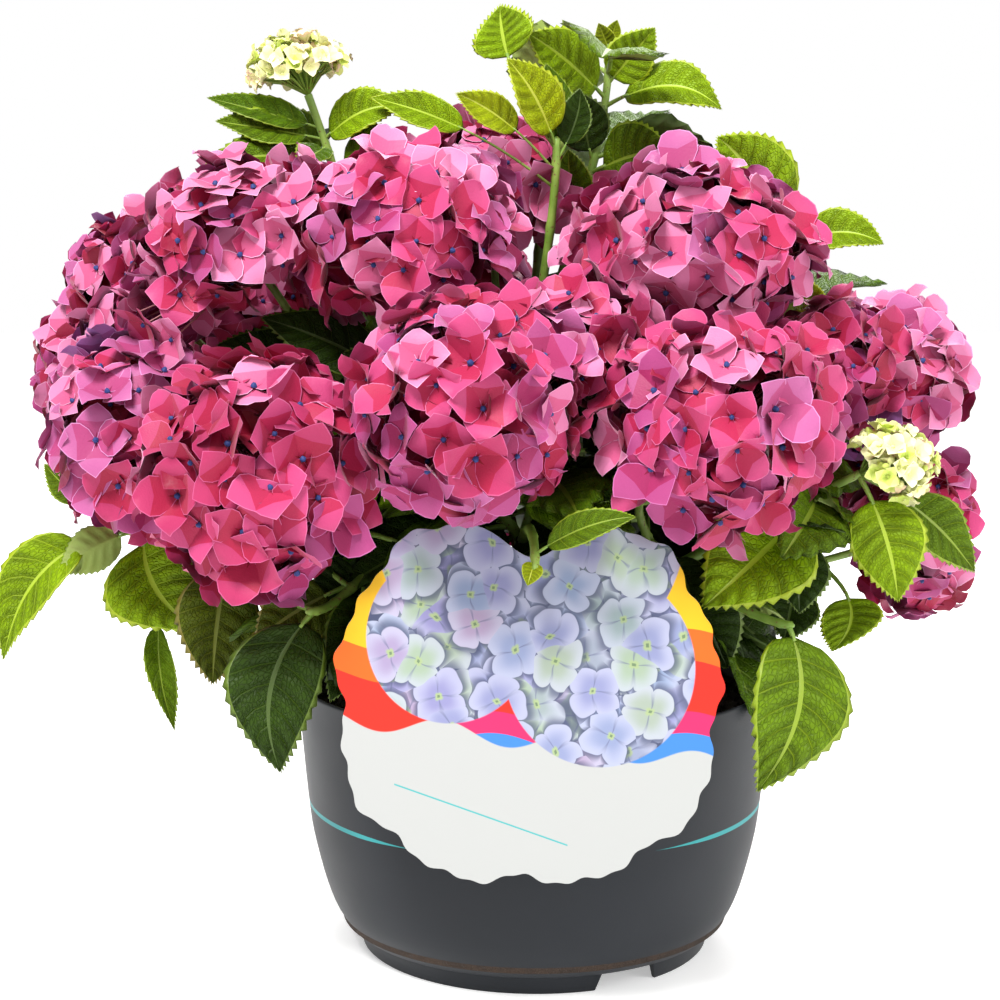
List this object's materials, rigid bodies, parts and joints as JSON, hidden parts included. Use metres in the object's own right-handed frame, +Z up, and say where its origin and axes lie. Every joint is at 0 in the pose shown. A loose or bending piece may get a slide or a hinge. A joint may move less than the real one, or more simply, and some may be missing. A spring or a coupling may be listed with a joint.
{
  "type": "potted hydrangea shrub",
  "caption": "Mophead hydrangea in a round dark plastic nursery pot, with pink flower heads over serrated green leaves and a wavy label card tucked over the rim.",
  "frame": {"origin": "middle of the round pad under the pot's floor, level with the foot ring, on the ground", "axes": "+Z up along the pot's axis, -Y towards the front where the label card leans, +X to the right seen from the front"},
  "size_m": [0.577, 0.4795, 0.5322],
  "materials": {
    "pot_plastic": "dark grey semi-matte moulded plastic with a thin teal line",
    "soil": "dark crumbly peat compost",
    "card": "smooth printed off-white card",
    "bark": "pale brown flaking bark",
    "leaf": "satin green leaf with sunken veins",
    "petal": "soft matt pink petal with paler edges",
    "unripe": "soft matt cream green petal"
  },
  "bodies": {
    "root": {"pot": "pot_plastic", "soil": "soil", "label_card": "card", "woody_crown": "bark", "cane_front_left": "bark", "cane_front": "bark", "cane_front_right": "bark", "cane_right": "bark", "cane_right_back": "bark", "cane_back_right": "bark", "cane_back": "bark", "cane_back_left": "bark", "cane_left": "bark", "cane_upper_left": "bark", "cane_upper_right": "bark", "cane_top": "bark", "foliage_front_left": "leaf", "foliage_front": "leaf", "foliage_front_right": "leaf", "foliage_right": "leaf", "foliage_right_back": "leaf", "foliage_back_right": "leaf", "foliage_back": "leaf", "foliage_back_left": "leaf", "foliage_left": "leaf", "foliage_upper_left": "leaf", "foliage_upper_right": "leaf", "foliage_top": "leaf", "bloom_front_left": "petal", "bloom_left_side": "petal", "bloom_front": "petal", "bloom_front_middle": "petal", "bloom_front_right": "petal", "bloom_upper_left": "petal", "bloom_left_shoulder": "petal", "bloom_left_high": "petal", "bloom_left_low": "petal", "bloom_left_back": "petal", "bloom_upper_right": "petal", "bloom_right_inner": "petal", "bloom_right_high": "petal", "bloom_right_low": "petal", "bloom_top": "petal", "bloom_back_left_high": "petal", "bloom_back_left_low": "petal", "bloom_back_middle": "petal", "bloom_back_low": "petal", "bloom_back_right_high": "petal", "bloom_back_right_low": "petal", "bloom_right_back": "petal", "bloom_right_back_low": "petal", "head_unripe_left": "unripe", "head_unripe_right": "unripe", "head_unripe_back": "unripe"}
  },
  "joints": []
}
